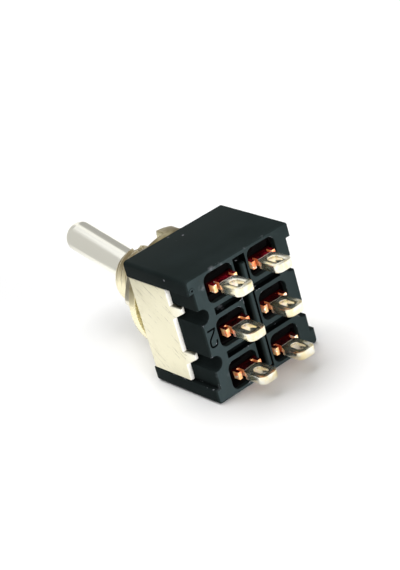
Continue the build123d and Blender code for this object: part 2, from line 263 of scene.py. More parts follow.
class Sheet:
    """A node tree under construction."""

    def __init__(self, tree: bpy.types.NodeTree) -> None:
        """Start on a tree.

        Args:
            tree: The node tree that nodes are added to.
        """
        self.tree = tree

    def put(self, socket: Socket, value: Value) -> None:
        """Link a socket to another, or set its own value.

        Args:
            socket: The input socket.
            value: An output socket, a number or a colour.
        """
        if isinstance(value, bpy.types.NodeSocket):
            self.tree.links.new(value, socket)
        elif isinstance(value, (tuple, list)) and socket.type == "RGBA":
            socket.default_value = (*value, 1.0)
        else:
            socket.default_value = value

    def node(self, kind: str, inputs: Optional[dict] = None, **settings: object) -> bpy.types.Node:
        """Add a node.

        Args:
            kind: The node's type, without its Shader Node prefix.
            inputs: Values or links of its input sockets, by name or number.
            **settings: Values for the node's own properties.

        Returns:
            The new node.
        """
        made = self.tree.nodes.new("ShaderNode" + kind)
        for name, value in settings.items():
            setattr(made, name, value)
        for key, value in (inputs or {}).items():
            self.put(made.inputs[key], value)
        return made

    def math(self, operation: str, first: Value, second: Value = 0.0) -> Socket:
        """Add a Math node and give its result."""
        return self.node("Math", {0: first, 1: second}, operation=operation).outputs[0]

    def ramp(self, value: Value, low: float, high: float, start: float = 0.0, end: float = 1.0) -> Socket:
        """Add a clamped Map Range node and give its result."""
        inputs = {"Value": value, "From Min": low, "From Max": high, "To Min": start, "To Max": end}
        return self.node("MapRange", inputs, clamp=True).outputs["Result"]

    def blend(self, share: Value, first: Value, second: Value) -> Socket:
        """Add a colour Mix node and give its result."""
        return self.node("Mix", {0: share, 6: first, 7: second}, data_type="RGBA").outputs[2]

    def noise(self, where: Socket, scale: Value, detail: float = 3.0, rough: float = 0.55) -> Socket:
        """Add a Noise Texture node and give its value."""
        inputs = {"Vector": where, "Scale": scale, "Detail": detail, "Roughness": rough}
        return self.node("TexNoise", inputs).outputs["Fac"]

    def part(self, vector: Socket, axis: str) -> Socket:
        """Add a Separate XYZ node and give one coordinate."""
        return self.node("SeparateXYZ", {0: vector}).outputs[axis]

    def facing(self, axis: str) -> Socket:
        """Give how far the surface faces along an axis."""
        return self.part(self.node("NewGeometry").outputs["Normal"], axis)

    def relief(self, height: Socket, strength: float, depth: float, base: Optional[Socket] = None) -> Socket:
        """Add a Bump node and give its normal.

        Args:
            height: The relief's height.
            strength: Share of the relief that shows.
            depth: Depth of the relief, in metres.
            base: Normal that the relief is laid on, if not the surface's own.

        Returns:
            The normal.
        """
        inputs = {"Height": height, "Strength": strength, "Distance": depth}
        if base is not None:
            inputs["Normal"] = base
        return self.node("Bump", inputs).outputs[0]

    def group(self, tree: bpy.types.NodeTree, inputs: dict) -> bpy.types.Node:
        """Place a shared node group.

        Args:
            tree: The group's node tree.
            inputs: Values or links of its inputs, by name.

        Returns:
            The group's node.
        """
        made = self.tree.nodes.new("ShaderNodeGroup")
        made.node_tree = tree
        for key, value in inputs.items():
            self.put(made.inputs[key], value)
        return made


class SharedEffects:
    """Node groups that more than one finish uses, each built once."""

    _made: dict[str, bpy.types.NodeTree] = {}

    @classmethod
    def _start(cls, name: str, inputs: dict[str, str], outputs: dict[str, str]) -> tuple[Sheet, dict, bpy.types.Node]:
        """Start a group's tree with its sockets.

        Args:
            name: The group's name.
            inputs: Socket types by input name.
            outputs: Socket types by output name.

        Returns:
            The sheet, the input sockets by name, and the output node.
        """
        tree = bpy.data.node_groups.new(name, "ShaderNodeTree")
        for in_out, sockets in (("INPUT", inputs), ("OUTPUT", outputs)):
            for socket, kind in sockets.items():
                tree.interface.new_socket(socket, in_out=in_out, socket_type="NodeSocket" + kind)
        start = tree.nodes.new("NodeGroupInput")
        end = tree.nodes.new("NodeGroupOutput")
        cls._made[name] = tree
        return Sheet(tree), {s: start.outputs[s] for s in inputs}, end

    @classmethod
    def edge_wear(cls) -> bpy.types.NodeTree:
        """Mask of worn and bruised edges, which the moulding also uses for a painted highlight.

        Returns:
            A group with Vector, Radius, Grain and Amount in and Mask and Normal out.
        """
        name = "edge_wear"
        if name not in cls._made:
            inputs = {"Vector": "Vector", "Radius": "Float", "Grain": "Float", "Amount": "Float"}
            sheet, given, end = cls._start(name, inputs, {"Mask": "Float", "Normal": "Vector"})
            rounded = sheet.node("Bevel", {"Radius": given["Radius"]}, samples=6).outputs["Normal"]
            plain = sheet.node("NewGeometry").outputs["Normal"]
            turn = sheet.node("VectorMath", {0: rounded, 1: plain}, operation="DOT_PRODUCT").outputs["Value"]
            edge = sheet.ramp(turn, 0.99, 0.86)
            patches = sheet.noise(given["Vector"], given["Grain"], 5.0, 0.65)
            limit = sheet.math("SUBTRACT", 0.78, sheet.math("MULTIPLY", given["Amount"], 0.4))
            worn = sheet.math("MULTIPLY", sheet.math("SUBTRACT", patches, limit), 14.0)
            mask = sheet.node("Clamp", {"Value": sheet.math("MULTIPLY", worn, edge)}).outputs[0]
            sheet.put(end.inputs["Mask"], mask)
            sheet.put(end.inputs["Normal"], rounded)
        return cls._made[name]

    @classmethod
    def flecks(cls) -> bpy.types.NodeTree:
        """Scattered small specks.

        Returns:
            A group with Vector, Scale and Size in and Mask out.
        """
        name = "flecks"
        if name not in cls._made:
            inputs = {"Vector": "Vector", "Scale": "Float", "Size": "Float"}
            sheet, given, end = cls._start(name, inputs, {"Mask": "Float"})
            cells = sheet.node("TexVoronoi", {"Vector": given["Vector"], "Scale": given["Scale"], "Randomness": 1.0})
            few = sheet.ramp(sheet.node("SeparateColor", {0: cells.outputs["Color"]}).outputs[0], 0.86, 0.9)
            near = sheet.ramp(sheet.math("SUBTRACT", given["Size"], cells.outputs["Distance"]), 0.0, 0.05)
            sheet.put(end.inputs["Mask"], sheet.math("MULTIPLY", near, few))
        return cls._made[name]

    @classmethod
    def grain_lines(cls) -> bpy.types.NodeTree:
        """Fine drawn or brushed lines that run along the vector's y.

        Returns:
            A group with Vector, Scale and Stretch in and Height out.
        """
        name = "grain_lines"
        if name not in cls._made:
            inputs = {"Vector": "Vector", "Scale": "Float", "Stretch": "Float"}
            sheet, given, end = cls._start(name, inputs, {"Height": "Float"})
            parts = sheet.node("SeparateXYZ", {0: given["Vector"]})
            along = sheet.math("DIVIDE", parts.outputs["Y"], given["Stretch"])
            packed = sheet.node("CombineXYZ", {"X": parts.outputs["X"], "Y": along, "Z": parts.outputs["Z"]})
            sheet.put(end.inputs["Height"], sheet.noise(packed.outputs[0], given["Scale"], 4.0, 0.7))
        return cls._made[name]


def start_material(name: str) -> tuple[bpy.types.Material, Sheet, bpy.types.Node, Socket]:
    """Make a material with an empty Principled shader.

    Args:
        name: The material's name.

    Returns:
        The material, its sheet, its shader node and its Object coordinates.
    """
    material = bpy.data.materials.new(name)
    material.use_nodes = True
    sheet = Sheet(material.node_tree)
    shader = material.node_tree.nodes["Principled BSDF"]
    where = sheet.node("TexCoord").outputs["Object"]
    return material, sheet, shader, where


@dataclass(frozen=True)
class MouldedPlastic:
    """Satin black moulding with a fine moulded skin, faint flow marks and whitened scuffs, with painted shade in its
    recesses, painted light on its terminal face and a painted highlight along its edges.

    Attributes:
        name: The material's name.
        color: Base colour.
        mottle: Colour of the paler patches.
        scuff_and_glint: Colour of bruised edges and specks, and of the painted highlight along the edges.
        dust: Colour of the painted light on the terminal face, laid in patches.
        roughness: Mean roughness.
        wear: Share of the edges that is whitened, partly as bruising and partly as painted highlight.
        shade_reach: Reach of the painted shade in recesses, in millimetres.
        dust_side: Places along X between which the painted light on the terminal face grows.
        dust_least: Share of that painted light where it is weakest.
        gloss: Specular level.
        gloss_tint: Colour of the gloss.
        bruises: Places and radii of single bruises, in millimetres.
    """

    name: str
    color: Color
    mottle: Color
    scuff_and_glint: Color
    dust: Color
    roughness: float
    wear: float
    shade_reach: float = 1.3
    dust_side: tuple[float, float] = (-6.0 * MM, 2.0 * MM)
    dust_least: float = 0.2
    gloss: float = 0.008
    gloss_tint: Color = (0.86, 1.0, 0.97)
    bruises: tuple[tuple[float, float, float, float], ...] = ()

    def material(self) -> bpy.types.Material:
        """Build the finish.

        Returns:
            The material.
        """
        material, sheet, shader, where = start_material(self.name)
        wear = sheet.group(
            SharedEffects.edge_wear(),
            {"Vector": where, "Radius": 0.1 * MM, "Grain": 900.0, "Amount": self.wear},
        )
        specks = sheet.group(SharedEffects.flecks(), {"Vector": where, "Scale": 950.0, "Size": 0.14})
        cloud = sheet.noise(where, 260.0, 4.0)
        skin = sheet.noise(where, 5200.0, 2.0)
        tone = sheet.blend(sheet.ramp(cloud, 0.35, 0.7), self.color, self.mottle)
        light = sheet.node("AmbientOcclusion", {"Distance": self.shade_reach * MM}, samples=8, only_local=True)
        # Painted light: faces towards +Y are lightened in patches, more towards +X.
        dust = sheet.math("MULTIPLY", sheet.ramp(sheet.facing("Y"), 0.8, 0.98), sheet.ramp(cloud, 0.3, 0.6, 0.7, 1.0))
        face_light_falloff = sheet.ramp(sheet.part(where, "X"), *self.dust_side, self.dust_least, 1.0)
        dust = sheet.math("MULTIPLY", dust, face_light_falloff)
        tone = sheet.blend(dust, tone, self.dust)
        # Painted shade: recesses darken towards near black by ambient occlusion.
        tone = sheet.blend(sheet.ramp(light.outputs["AO"], 0.55, 0.95), PAINTED_SHADE, tone)
        # Whitened edges are partly real bruising and partly a painted highlight; specks and single bruises are real.
        white = sheet.math("MAXIMUM", wear.outputs["Mask"], sheet.math("MULTIPLY", specks.outputs["Mask"], 0.3))
        white = sheet.math("MAXIMUM", white, self._bruised(sheet, where))
        sheet.put(shader.inputs["Base Color"], sheet.blend(white, tone, self.scuff_and_glint))
        rough = sheet.ramp(cloud, 0.3, 0.75, self.roughness - 0.06, self.roughness + 0.08)
        sheet.put(shader.inputs["Roughness"], rough)
        height = sheet.math("ADD", sheet.math("MULTIPLY", skin, 0.35), sheet.math("MULTIPLY", cloud, 0.8))
        sheet.put(shader.inputs["Normal"], sheet.relief(height, 0.22, 0.03 * MM, wear.outputs["Normal"]))
        shader.inputs["Specular IOR Level"].default_value = self.gloss
        sheet.put(shader.inputs["Specular Tint"], self.gloss_tint)
        return material

    def _bruised(self, sheet: Sheet, where: Socket) -> Socket:
        """Mask of the single bruises.

        Args:
            sheet: The material's sheet.
            where: Its Object coordinates.

        Returns:
            The mask, broken up by a noise.
        """
        near: Value = 0.0
        for x, y, z, radius in self.bruises:
            middle = (x * MM, y * MM, z * MM)
            away = sheet.node("VectorMath", {0: where, 1: middle}, operation="DISTANCE").outputs["Value"]
            near = sheet.math("MAXIMUM", near, sheet.ramp(away, radius * MM, 0.3 * radius * MM))
        broken = sheet.ramp(sheet.noise(where, 2400.0, 3.0, 0.55), 0.4, 0.72, 0.0, 0.14)
        return sheet.math("MULTIPLY", near, broken)


@dataclass(frozen=True)
class PlatedMetal:
    """Plated or turned metal with grain lines, tarnished patches and rubbed edges, and where asked, painted shade on
    what faces up.

    Attributes:
        name: The material's name.
        color: Colour of the clean plating.
        tarnish_and_shade: Colour of the tarnished patches, and of the painted shade on what faces up.
        edge: Colour of the rubbed edges.
        roughness: Mean roughness.
        grain: Strength of the grain lines.
        grain_turn: Turn about X that brings the grain's direction to Y, in degrees.
        stretch: Length of a grain line over its width.
        patch: Share of the surface that has tarnished.
        upper_shade: Strength of the painted shade on what faces up.
        sheared: Whether the faces towards the lugs are rough sheared edges.
        scratched: Depth of the colour of fine slanting scratches.
        slant: Turn of the scratches about X, in degrees.
    """

    name: str
    color: Color
    tarnish_and_shade: Color
    edge: Color
    roughness: float
    grain: float = 0.1
    grain_turn: float = 0.0
    stretch: float = 30.0
    patch: float = 0.4
    upper_shade: float = 0.0
    sheared: bool = False
    scratched: float = 0.0
    slant: float = 38.0

    def material(self) -> bpy.types.Material:
        """Build the finish.

        Returns:
            The material.
        """
        material, sheet, shader, where = start_material(self.name)
        turned = sheet.node("Mapping", {"Vector": where, "Rotation": (math.radians(self.grain_turn), 0.0, 0.0)})
        lines = sheet.group(
            SharedEffects.grain_lines(),
            {"Vector": turned.outputs[0], "Scale": 5200.0, "Stretch": self.stretch},
        ).outputs["Height"]
        wear = sheet.group(
            SharedEffects.edge_wear(),
            {"Vector": where, "Radius": 0.07 * MM, "Grain": 1300.0, "Amount": 0.9},
        )
        cloud = sheet.noise(where, 420.0, 5.0, 0.6)
        dimmed = sheet.ramp(cloud, 0.75 - 0.5 * self.patch, 0.95 - 0.4 * self.patch)
        # Painted shade: what faces up is darkened in patches towards the tarnished patches' colour.
        if self.upper_shade:
            upper = sheet.ramp(sheet.facing("Z"), 0.15, 0.5, 0.0, self.upper_shade)
            dimmed = sheet.math("MAXIMUM", dimmed, sheet.math("MULTIPLY", upper, sheet.ramp(cloud, 0.3, 0.55, 0.6, 1.0)))
        tone = sheet.blend(dimmed, self.color, self.tarnish_and_shade)
        if self.scratched:
            slant = sheet.node("Mapping", {"Vector": where, "Rotation": (math.radians(self.slant), 0.0, 0.0)})
            marks = sheet.group(
                SharedEffects.grain_lines(), {"Vector": slant.outputs[0], "Scale": 4200.0, "Stretch": 9.0}
            ).outputs["Height"]
            tone = sheet.blend(sheet.ramp(marks, 0.6, 0.68, 0.0, self.scratched), tone, SCRATCH)
        bright = wear.outputs["Mask"]
        gleam = 1.0
        rough = sheet.math("ADD", sheet.ramp(lines, 0.3, 0.7, -0.05, 0.06), sheet.ramp(dimmed, 0.0, 1.0, 0.0, 0.1))
        if self.sheared:
            cut = sheet.ramp(sheet.facing("Y"), 0.5, 0.9)
            bright = sheet.math("MAXIMUM", bright, cut)
            rough = sheet.math("ADD", rough, sheet.math("MULTIPLY", cut, 0.3))
            gleam = sheet.ramp(cut, 0.0, 1.0, 1.0, 0.35)
        sheet.put(shader.inputs["Base Color"], sheet.blend(bright, tone, self.edge))
        sheet.put(shader.inputs["Roughness"], sheet.math("ADD", rough, self.roughness))
        sheet.put(shader.inputs["Normal"], sheet.relief(lines, self.grain, 0.02 * MM, wear.outputs["Normal"]))
        sheet.put(shader.inputs["Metallic"], gleam)
        return material


@dataclass(frozen=True)
class TinnedBrass:
    """Bright dipped solder lug whose foot carries a film of red resin, painted darker on its upper faces and on the
    lower rows, and lighter with painted glints on its other faces.

    Attributes:
        name: The material's name.
        color: Colour of the bright tin.
        brass: Colour where the brass shows through.
        shade: Colour of the olive mottling, partly real tarnishing and partly a painted dark reflection.
        thin_film_lit: Colours of the foot's faces that do not face up, where it is red and where the metal gleams
            through; their lightness is partly painted light.
        thick_film_shaded: Colours of the foot's upper faces, dark and clear; their darkness is partly a heavier film
            and partly painted shade.
        film_top: Place along Y where the film ends on the upper face, in metres.
        film_fade: Length over which the film thins out along the edges, in metres.
        clear_row: Place along Z, in metres, below which the film on the upper faces is darkened by painted shade.
    """

    name: str
    color: Color
    brass: Color
    shade: Color
    thin_film_lit: tuple[Color, Color]
    thick_film_shaded: tuple[Color, Color]
    film_top: float
    film_fade: float
    clear_row: float = 4.0 * MM

    def material(self) -> bpy.types.Material:
        """Build the finish.

        Returns:
            The material.
        """
        material, sheet, shader, where = start_material(self.name)
        wear = sheet.group(
            SharedEffects.edge_wear(),
            {"Vector": where, "Radius": 0.09 * MM, "Grain": 1500.0, "Amount": 0.8},
        )
        cloud = sheet.noise(where, 900.0, 4.0, 0.6)
        speckle = sheet.noise(where, 3800.0, 3.0, 0.6)
        metal = sheet.blend(sheet.ramp(cloud, 0.42, 0.62), self.color, self.brass)
        # Olive mottling: partly real tarnishing, partly a painted dark reflection.
        metal = sheet.blend(sheet.ramp(speckle, 0.62, 0.85, 0.0, 0.4), metal, self.shade)
        metal = sheet.blend(wear.outputs["Mask"], metal, self.color)
        parts = sheet.node("SeparateXYZ", {0: where})
        unevenness = sheet.math("MULTIPLY", sheet.math("SUBTRACT", cloud, 0.5), 0.5 * MM)
        ragged = sheet.math("ADD", parts.outputs["Y"], unevenness)
        # Painted light and shade: upper faces take the dark film colours, the other faces the light ones.
        upper = sheet.ramp(sheet.facing("Z"), 0.35, 0.8)
        short = sheet.ramp(ragged, self.film_top - 0.1 * MM, self.film_top + 0.15 * MM, 1.0, 0.0)
        long = sheet.ramp(ragged, self.film_top - 0.1 * MM, self.film_top + self.film_fade, 1.0, 0.0)
        film = sheet.node("Mix", {0: upper, 2: long, 3: short}).outputs[0]
        swirl = sheet.ramp(sheet.noise(where, 1500.0, 3.0, 0.6), 0.4, 0.6)
        thin_lit, thick_shaded = sheet.blend(swirl, *self.thin_film_lit), sheet.blend(swirl, *self.thick_film_shaded)
        # Painted highlight: small glints in the tin's colour on the light film.
        thin_lit = sheet.blend(sheet.ramp(sheet.noise(where, 2400.0, 2.0), 0.6, 0.68), thin_lit, self.color)
        # Painted shade: the upper film of the middle and lower rows is darkened towards near black.
        thick_shaded = sheet.blend(sheet.ramp(parts.outputs["Z"], 0.0, self.clear_row, 0.25, 1.0), PAINTED_SHADE, thick_shaded)
        resin = sheet.blend(upper, thin_lit, thick_shaded)
        sheet.put(shader.inputs["Base Color"], sheet.blend(film, metal, resin))
        sheet.put(shader.inputs["Metallic"], sheet.ramp(film, 0.1, 0.8, 0.95, 0.08))
        sheet.put(shader.inputs["Roughness"], sheet.ramp(speckle, 0.3, 0.75, 0.17, 0.25))
        sheet.put(shader.inputs["Coat Weight"], sheet.math("MULTIPLY", film, 0.5))
        shader.inputs["Coat Roughness"].default_value = 0.15
        sheet.put(shader.inputs["Normal"], sheet.relief(cloud, 0.06, 0.04 * MM, wear.outputs["Normal"]))
        return material


@dataclass(frozen=True)
class PouredResin:
    """Glossy poured resin, red where it climbs and near black elsewhere, partly as deeper resin and partly as painted
    shade in the pocket.

    Attributes:
        name: The material's name.
        color: Colour of the shallow resin.
        deep_and_shaded: Colour of the resin away from the climb, near black partly as deeper resin and partly as
            painted shade.
        surface: Place along Y of the pool's level, in metres.
        gloss: Specular level.
    """

    name: str
    color: Color
    deep_and_shaded: Color
    surface: float
    gloss: float = 0.03

    def material(self) -> bpy.types.Material:
        """Build the finish.

        Returns:
            The material.
        """
        material, sheet, shader, where = start_material(self.name)
        cloud = sheet.noise(where, 700.0, 3.0)
        # Near black away from the climb: partly deeper resin, partly painted shade in the pocket.
        raised = sheet.ramp(sheet.part(where, "Y"), self.surface + 0.15 * MM, self.surface + 0.4 * MM)
        share = sheet.math("MULTIPLY", raised, sheet.ramp(cloud, 0.3, 0.7, 0.6, 1.0))
        sheet.put(shader.inputs["Base Color"], sheet.blend(share, self.deep_and_shaded, self.color))
        sheet.put(shader.inputs["Roughness"], sheet.ramp(cloud, 0.35, 0.7, 0.08, 0.22))
        sheet.put(shader.inputs["Normal"], sheet.relief(cloud, 0.2, 0.05 * MM))
        shader.inputs["Specular IOR Level"].default_value = self.gloss
        return material


@dataclass(frozen=True)
class NaturalNylon:
    """Milky moulded nylon with a faint cloud in it.

    Attributes:
        name: The material's name.
        color: Base colour.
        cloud: Colour of the cloudier patches.
    """

    name: str
    color: Color
    cloud: Color

    def material(self) -> bpy.types.Material:
        """Build the finish.

        Returns:
            The material.
        """
        material, sheet, shader, where = start_material(self.name)
        patches = sheet.noise(where, 600.0, 4.0)
        sheet.put(shader.inputs["Base Color"], sheet.blend(sheet.ramp(patches, 0.35, 0.65), self.color, self.cloud))
        sheet.put(shader.inputs["Roughness"], sheet.ramp(patches, 0.3, 0.7, 0.35, 0.5))
        sheet.put(shader.inputs["Normal"], sheet.relief(patches, 0.1, 0.02 * MM))
        return material


@dataclass
class Housing:
    """The black moulding, its position number and the scar of its gate.

    Attributes:
        finish: The moulding's finish.
        edge: Rounding of the moulding's edges.
        face: Place along Y of the terminal face.
        number_place: Foot of the position number on the terminal face, in x and z.
        number_size: Height and width of the number.
        stroke: Radius of the number's engraved line.
        stroke_depth: Depth of the line's middle below the face.
        gate_place: Middle of the gate's scar, in x and z.
        gate_radius: Radius of the scar.
        gate_rise: Height of the scar above the face.
        gate_edge: Rounding of the scar's edges.
        gate_shake: Unevenness of the scar's top.
        gate_hole: Radius of the hole that the gate left.
        gate_depth: Depth of that hole.
    """

    finish: MouldedPlastic
    edge: float = 0.04 * MM
    face: float = 9.7 * MM
    number_place: tuple[float, float] = (4.62 * MM, 0.9 * MM)
    number_size: tuple[float, float] = (1.7 * MM, 0.98 * MM)
    stroke: float = 0.12 * MM
    stroke_depth: float = 0.08 * MM
    gate_place: tuple[float, float] = (5.9 * MM, 5.5 * MM)
    gate_radius: float = 0.3 * MM
    gate_rise: float = 0.07 * MM
    gate_edge: float = 0.03 * MM
    gate_shake: float = 0.06 * MM
    gate_hole: float = 0.13 * MM
    gate_depth: float = 0.5 * MM

    def build(self) -> None:
        """Build the moulding and what stands on its terminal face."""
        material = self.finish.material()
        body = softened_copy("housing", "housing_moulding", self.edge)
        scar, line, hole = self._gate(), self._engraving(), self._hole()
        for piece, cutter in ((body, line), (body, hole), (scar, hole)):
            apply_modifier(piece, "BOOLEAN", object=cutter, operation="DIFFERENCE", solver="EXACT", use_self=True)
            smooth(piece)
        for cutter in (line, hole):
            bpy.data.objects.remove(cutter)
        hand_over(body, Body.BASE, material, ["housing"])
        hand_over(scar, Body.BASE, material)

    def _hole(self) -> bpy.types.Object:
        """Model the cutter of the hole in the gate's scar.

        Returns:
            The cutter as a closed mesh.
        """
        bpy.ops.object.select_all(action="DESELECT")
        bpy.ops.mesh.primitive_cone_add(
            vertices=24,
            radius1=0.7 * self.gate_hole,
            radius2=self.gate_hole,
            depth=2 * self.gate_depth,
            location=(self.gate_place[0], self.face, self.gate_place[1]),
            rotation=STAND_ALONG_Y,
        )
        cutter = bpy.context.object
        settle(cutter)
        return cutter

    def _engraving(self) -> bpy.types.Object:
        """Model the cutter of the engraved position number, a two.

        Returns:
            The cutter as a closed mesh.
        """
        bpy.ops.object.select_all(action="DESELECT")
        bpy.ops.curve.primitive_nurbs_path_add(location=(0.0, 0.0, 0.0))
        line = bpy.context.object
        line.name = "number_cutter"
        line.data.splines.clear()
        spline = line.data.splines.new("NURBS")
        spline.points.add(len(FIGURE_TWO) - 1)
        height, width = self.number_size
        for point, (across, up) in zip(spline.points, FIGURE_TWO):
            x = self.number_place[0] + across * width
            z = self.number_place[1] - up * height
            point.co = (x, self.face - self.stroke_depth, z, 1.0)
        spline.order_u = 3
        spline.use_endpoint_u = True
        spline.resolution_u = 5
        line.data.dimensions = "3D"
        line.data.bevel_depth = self.stroke
        line.data.bevel_resolution = 3
        line.data.use_fill_caps = True
        only(line)
        bpy.ops.object.convert(target="MESH")
        cutter = bpy.context.object
        tidy_mesh(cutter)
        return cutter

    def _gate(self) -> bpy.types.Object:
        """Model the broken-off gate as a low ragged disc.

        Returns:
            The scar as a closed mesh.
        """
        bpy.ops.object.select_all(action="DESELECT")
        bpy.ops.mesh.primitive_cylinder_add(
            vertices=20,
            radius=self.gate_radius,
            depth=2 * self.gate_rise,
            location=(self.gate_place[0], self.face, self.gate_place[1]),
            rotation=STAND_ALONG_Y,
        )
        piece = bpy.context.object
        piece.name = "gate_scar"
        settle(piece)
        bpy.ops.object.mode_set(mode="EDIT")
        bpy.ops.mesh.select_all(action="SELECT")
        bpy.ops.mesh.bevel(offset=self.gate_edge, segments=2)
        bpy.ops.mesh.subdivide(number_cuts=1)
        bpy.ops.object.mode_set(mode="OBJECT")
        for point in piece.data.vertices:
            if point.co.y > self.face:
                shake = noise.noise_vector(point.co * 4000.0)
                point.co += shake * self.gate_shake
        tidy_mesh(piece)
        smooth(piece)
        return piece


@dataclass
class Strap:
    """The folded strap frame.

    Attributes:
        finish: The strap's finish.
        edge: Rounding of the sheet's edges.
    """

    finish: PlatedMetal
    edge: float = 0.05 * MM

    def build(self) -> None:
        """Build the strap with the edges of its sheet broken."""
        piece = softened_copy("frame_strap", "folded_strap", self.edge)
        hand_over(piece, Body.BASE, self.finish.material(), ["frame_strap"])


@dataclass
class Bushing:
    """The turned bushing with its cut thread.

    Attributes:
        finish: The bushing's finish.
        crest: Outer radius of the thread.
        root: Radius at the thread's root.
        pitch: Step of the thread.
        flat: Width of the crest.
        clear: Room that the cutter has outside the crest.
        start: Place along Y where the thread starts, behind the outer nut's front.
        turns: Number of turns that the cutter makes.
        steps: Steps of the cutter in a turn.
    """

    finish: PlatedMetal
    crest: float = 3.0 * MM
    root: float = 2.56 * MM
    pitch: float = 0.75 * MM
    flat: float = 0.12 * MM
    clear: float = 0.1 * MM
    start: float = -4.85 * MM
    turns: int = 7
    steps: int = 64

    def build(self) -> None:
        """Cut the thread into a copy of the bushing."""
        piece = merged_copy("bushing", "threaded_bushing")
        cutter = self._cutter()
        apply_modifier(piece, "BOOLEAN", object=cutter, operation="DIFFERENCE", solver="EXACT")
        bpy.data.objects.remove(cutter)
        tidy_mesh(piece)
        smooth(piece)
        hand_over(piece, Body.BASE, self.finish.material(), ["bushing"])

    def _cutter(self) -> bpy.types.Object:
        """Model the helical vee that cuts the thread.

        Returns:
            The cutter as a closed mesh.
        """
        bpy.ops.object.select_all(action="DESELECT")
        bpy.ops.mesh.primitive_circle_add(vertices=3, radius=self.pitch, fill_type="NOTHING")
        cutter = bpy.context.object
        reach = self.crest + self.clear
        slope = (self.pitch - self.flat) / 2 / (self.crest - self.root)
        half = slope * (reach - self.root)
        corners = ((self.root, 0.0), (reach, half), (reach, -half))
        for point, (radius, along) in zip(cutter.data.vertices, corners):
            point.co = (radius, self.start + along, 0.0)
        apply_modifier(
            cutter,
            "SCREW",
            axis="Y",
            angle=-2 * math.pi,
            screw_offset=-self.pitch,
            iterations=self.turns,
            steps=self.steps,
            render_steps=self.steps,
            use_smooth_shade=False,
        )
        bpy.ops.object.mode_set(mode="EDIT")
        bpy.ops.mesh.select_mode(type="EDGE")
        bpy.ops.mesh.select_all(action="DESELECT")
        bpy.ops.mesh.select_non_manifold()
        bpy.ops.mesh.fill()
        bpy.ops.object.mode_set(mode="OBJECT")
        tidy_mesh(cutter)
        return cutter


@dataclass
class PanelHardware:
    """Washer, locating ring and nuts on the bushing.

    Attributes:
        nut: Finish of the nuts.
        ring: Finish of the locating ring.
        washer: Finish of the lock washer.
        edge: Rounding of the edges of the nuts and the ring.
    """

    nut: PlatedMetal
    ring: PlatedMetal
    washer: PlatedMetal
    edge: float = 0.06 * MM

    def build(self) -> None:
        """Build the nuts and the ring with broken edges and dress the washer."""
        nut = self.nut.material()
        for place in ("inner", "outer"):
            piece = softened_copy(f"{place}_nut", f"{place}_hex_nut", self.edge)
            hand_over(piece, Body.BASE, nut, [f"{place}_nut"])
        ring = softened_copy("locating_ring", "keyed_ring", self.edge)
        hand_over(ring, Body.BASE, self.ring.material(), ["locating_ring"])
        paint_solid("lock_washer", self.washer.material())


@dataclass
class Lever:
    """The turned lever with its pin and spring.

    Attributes:
        finish: The lever's finish.
        pin: Finish of the pivot pin.
        spring: Finish of the spring's wire.
        pivot: Place along Y of the lever's pivot. Not used.
        lean: Angle by which the lever leans at rest, in degrees. Not used.
        spring_seat: Distance from the pivot to the spring's seat. Not used.
        spring_keep: Share of the spring's length that is left when the plunger is pressed in. Not used.
    """

    finish: PlatedMetal
    pin: PlatedMetal
    spring: PlatedMetal
    pivot: float = -7.2 * MM
    lean: float = 12.58
    spring_seat: float = 1.2 * MM
    spring_keep: float = 0.9

    def build(self) -> None:
        """Dress the lever and its pin and build the spring."""
        paint_solid("lever", self.finish.material())
        paint_solid("pivot_pin", self.pin.material())
        self._spring()

    def _spring(self) -> None:
        """Build the coil spring."""
        coil = merged_copy("lever_spring", "coil_spring")
        smooth(coil)
        hand_over(coil, Body.LEVER, self.spring.material(), ["lever_spring"])
        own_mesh(coil)


@dataclass
class Works:
    """The plunger, the rocking contacts and the fixed contacts inside the housing.

    Attributes:
        nylon: Finish of the plunger.
        rocker: Finish of the rocking contacts.
        contact: Finish of the fixed contacts.
    """

    nylon: NaturalNylon
    rocker: PlatedMetal
    contact: PlatedMetal

    def build(self) -> None:
        """Dress the solids of the mechanism."""
        rocker, contact = self.rocker.material(), self.contact.material()
        paint_solid("plunger", self.nylon.material())
        for side in Side:
            paint_solid(f"rocker_{side.word}", rocker)
            for row in (Row.UPPER, Row.LOWER):
                paint_solid(f"contact_{side.word}_{row.word}", contact)


@dataclass
class Terminals:
    """The six solder terminals.

    Attributes:
        finish: The terminals' finish.
        edge: Rounding of the stamped edges.
    """

    finish: TinnedBrass
    edge: float = 0.1 * MM

    def build(self) -> None:
        """Build each terminal with its stamped edges rounded."""
        material = self.finish.material()
        for side in Side:
            for row in Row:
                place = f"{side.word}_{row.word}"
                piece = softened_copy(f"terminal_{place}", f"solder_lug_{place}", self.edge)
                hand_over(piece, Body.BASE, material, [f"terminal_{place}"])


